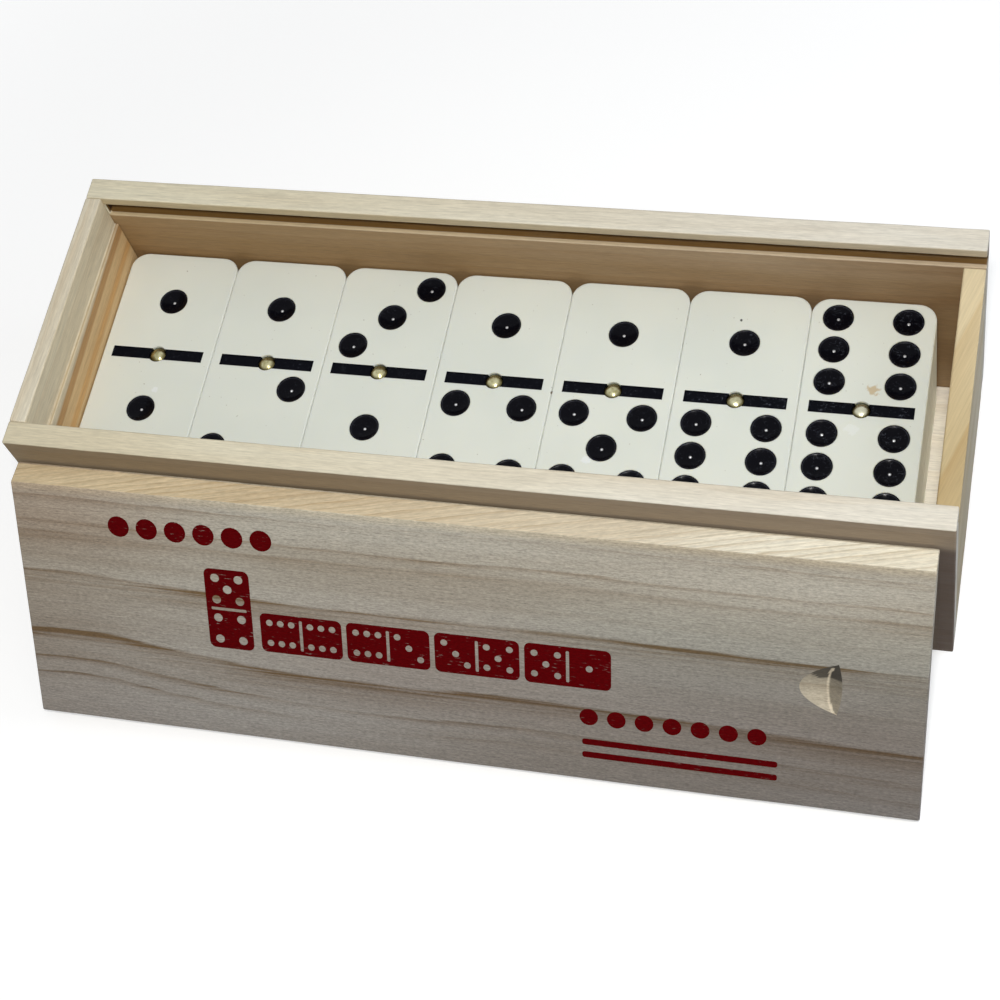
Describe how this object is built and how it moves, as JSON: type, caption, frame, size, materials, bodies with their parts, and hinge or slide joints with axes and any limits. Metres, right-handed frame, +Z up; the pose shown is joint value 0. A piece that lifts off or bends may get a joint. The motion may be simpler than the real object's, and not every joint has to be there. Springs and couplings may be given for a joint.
{
  "type": "domino storage box",
  "caption": "Shallow pine box with a grooved slide-in lid, shown taken off and leaning on the front, filled with layers of pinned domino tiles.",
  "frame": {"origin": "middle of the box's underside, on the surface that the box stands on", "axes": "+X along the box to its open end, +Y to the back wall, +Z up"},
  "size_m": [0.191, 0.1045, 0.0548],
  "materials": {
    "pine": "bare sanded pine",
    "end_pine": "bare sanded pine, warmer cut",
    "lid_pine": "bare sanded pine with open grain",
    "panel": "thin bare pine panel",
    "ivory": "polished ivory-coloured plastic with black-filled marks",
    "brass": "polished brass"
  },
  "bodies": {
    "box": {"bottom_panel": "panel", "front_wall": "pine", "back_wall": "pine", "closed_end_wall": "end_pine", "open_end_wall": "end_pine", "tile_0_0": "ivory", "tile_0_1": "ivory", "tile_0_2": "ivory", "tile_0_3": "ivory", "tile_0_4": "ivory", "tile_0_5": "ivory", "tile_0_6": "ivory", "tile_2_2": "ivory", "tile_2_3": "ivory", "tile_2_4": "ivory", "tile_2_5": "ivory", "tile_2_6": "ivory", "tile_3_3": "ivory", "tile_3_4": "ivory", "tile_3_5": "ivory", "tile_3_6": "ivory", "tile_4_4": "ivory", "tile_4_5": "ivory", "tile_4_6": "ivory", "tile_5_5": "ivory", "tile_5_6": "ivory", "pins_layer_1": "brass", "pins_layer_2": "brass", "pins_layer_3": "brass"},
    "lid": {"lid": "lid_pine"},
    "tile_1_1": {"tile_1_1": "ivory", "pin_1_1": "brass"},
    "tile_1_2": {"tile_1_2": "ivory", "pin_1_2": "brass"},
    "tile_1_3": {"tile_1_3": "ivory", "pin_1_3": "brass"},
    "tile_1_4": {"tile_1_4": "ivory", "pin_1_4": "brass"},
    "tile_1_5": {"tile_1_5": "ivory", "pin_1_5": "brass"},
    "tile_1_6": {"tile_1_6": "ivory", "pin_1_6": "brass"},
    "tile_6_6": {"tile_6_6": "ivory", "pin_6_6": "brass"}
  },
  "joints": [
    {"name": "lid_tilt", "type": "hinge", "parent": "box", "child": "lid", "pos_m": [0, -0.06935, 0], "axis": [1, 0, 0], "range_deg": [0, 36]},
    {"name": "tile_1_1_lift", "type": "slide", "parent": "box", "child": "tile_1_1", "axis": [0, 0, 1], "range_m": [0, 0.04]},
    {"name": "tile_1_2_lift", "type": "slide", "parent": "box", "child": "tile_1_2", "axis": [0, 0, 1], "range_m": [0, 0.04]},
    {"name": "tile_1_3_lift", "type": "slide", "parent": "box", "child": "tile_1_3", "axis": [0, 0, 1], "range_m": [0, 0.04]},
    {"name": "tile_1_4_lift", "type": "slide", "parent": "box", "child": "tile_1_4", "axis": [0, 0, 1], "range_m": [0, 0.04]},
    {"name": "tile_1_5_lift", "type": "slide", "parent": "box", "child": "tile_1_5", "axis": [0, 0, 1], "range_m": [0, 0.04]},
    {"name": "tile_1_6_lift", "type": "slide", "parent": "box", "child": "tile_1_6", "axis": [0, 0, 1], "range_m": [0, 0.04]},
    {"name": "tile_6_6_lift", "type": "slide", "parent": "box", "child": "tile_6_6", "axis": [0, 0, 1], "range_m": [0, 0.04]}
  ]
}
